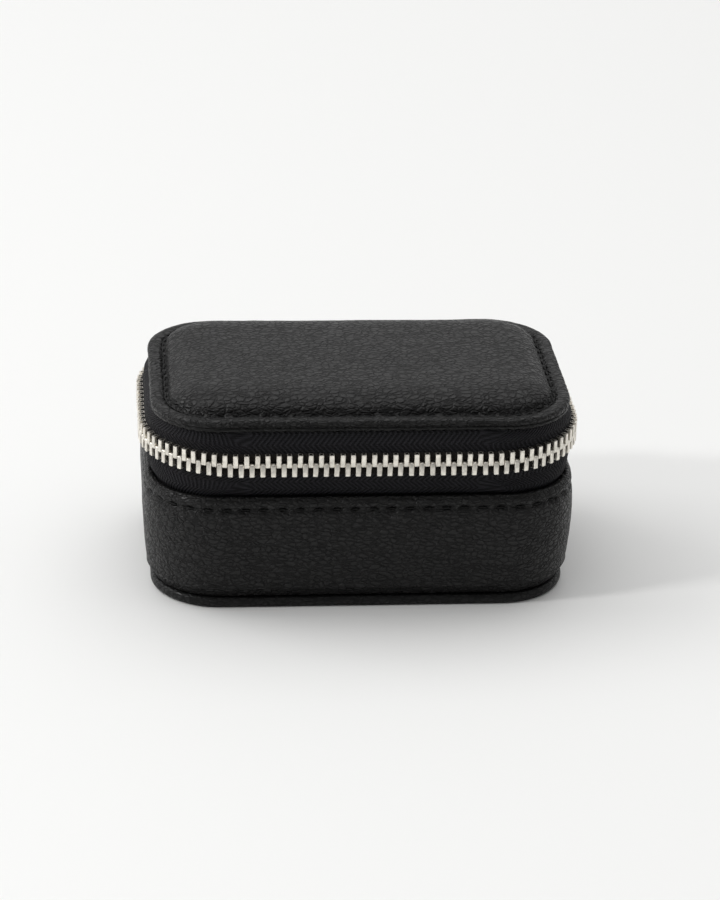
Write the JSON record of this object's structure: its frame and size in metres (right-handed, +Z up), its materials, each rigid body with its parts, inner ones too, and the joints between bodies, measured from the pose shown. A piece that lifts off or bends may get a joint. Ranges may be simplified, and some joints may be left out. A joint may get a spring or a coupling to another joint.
{
  "type": "zip-round jewellery case",
  "caption": "Small rounded rectangular leather jewellery case with a padded lid hinged at the rear and a metal zip round its sides.",
  "frame": {"origin": "on the surface the case stands on, under the middle of its bottom", "axes": "+X to the case's right along its longest side, +Y to the rear where the lid hinges, +Z up"},
  "size_m": [0.1056, 0.0757, 0.0511],
  "materials": {
    "leather": "black pebbled leather, soft sheen",
    "lining": "black velvet-like pile",
    "zip_tape": "black woven twill tape",
    "thread": "black twisted sewing thread",
    "zip_metal": "warm silver, tumbled",
    "slider_metal": "warm silver, polished",
    "board": "matte grey board",
    "foam": "matte grey foam",
    "elastic": "black covered elastic"
  },
  "bodies": {
    "base": {"bottom_leather": "leather", "base_board": "board", "base_wall_board": "board", "base_wall_foam": "foam", "base_band_leather": "leather", "band_stitching": "thread", "base_zip_tape": "zip_tape", "base_zip_chain": "zip_metal", "base_wall_lining": "lining", "base_floor_lining": "lining", "ring_bed": "foam", "ring_roll_1": "lining", "ring_roll_2": "lining", "ring_roll_3": "lining", "ring_roll_4": "lining", "divider_long": "lining", "divider_cross": "lining", "hinge_leather": "leather", "tape_tail_left": "zip_tape", "tape_tail_right": "zip_tape", "chain_tail_left": "zip_metal", "chain_tail_right": "zip_metal"},
    "lid": {"lid_top_leather": "leather", "lid_foam": "foam", "lid_board": "board", "lid_edge_facing": "leather", "lid_stitching": "thread", "lid_wall_board": "board", "lid_zip_tape": "zip_tape", "lid_zip_chain": "zip_metal", "lid_wall_lining": "lining", "lid_lining_pad": "lining", "lid_pocket": "lining", "pocket_elastic": "elastic"},
    "zip_slider": {"slider_body": "slider_metal", "slider_bail": "slider_metal", "slider_back_plate": "slider_metal"},
    "zip_pull": {"pull_ring": "slider_metal", "pull_strap": "leather"}
  },
  "joints": [
    {"name": "lid_hinge", "type": "hinge", "parent": "base", "child": "lid", "pos_m": [0, 0.0355, 0.038], "axis": [-1, 0, 0], "range_deg": [0, 100], "deforming": ["hinge_leather", "tape_tail_left", "tape_tail_right"]},
    {"name": "slider_run", "type": "hinge", "parent": "base", "child": "zip_slider", "pos_m": [0.028, 0.0105, 0.038], "axis": [0, 0, -1], "range_deg": [0, 90]},
    {"name": "pull_swing", "type": "hinge", "parent": "zip_slider", "child": "zip_pull", "pos_m": [0.028, 0.0376, 0.038], "axis": [0, 0, -1], "range_deg": [0, 175]}
  ]
}
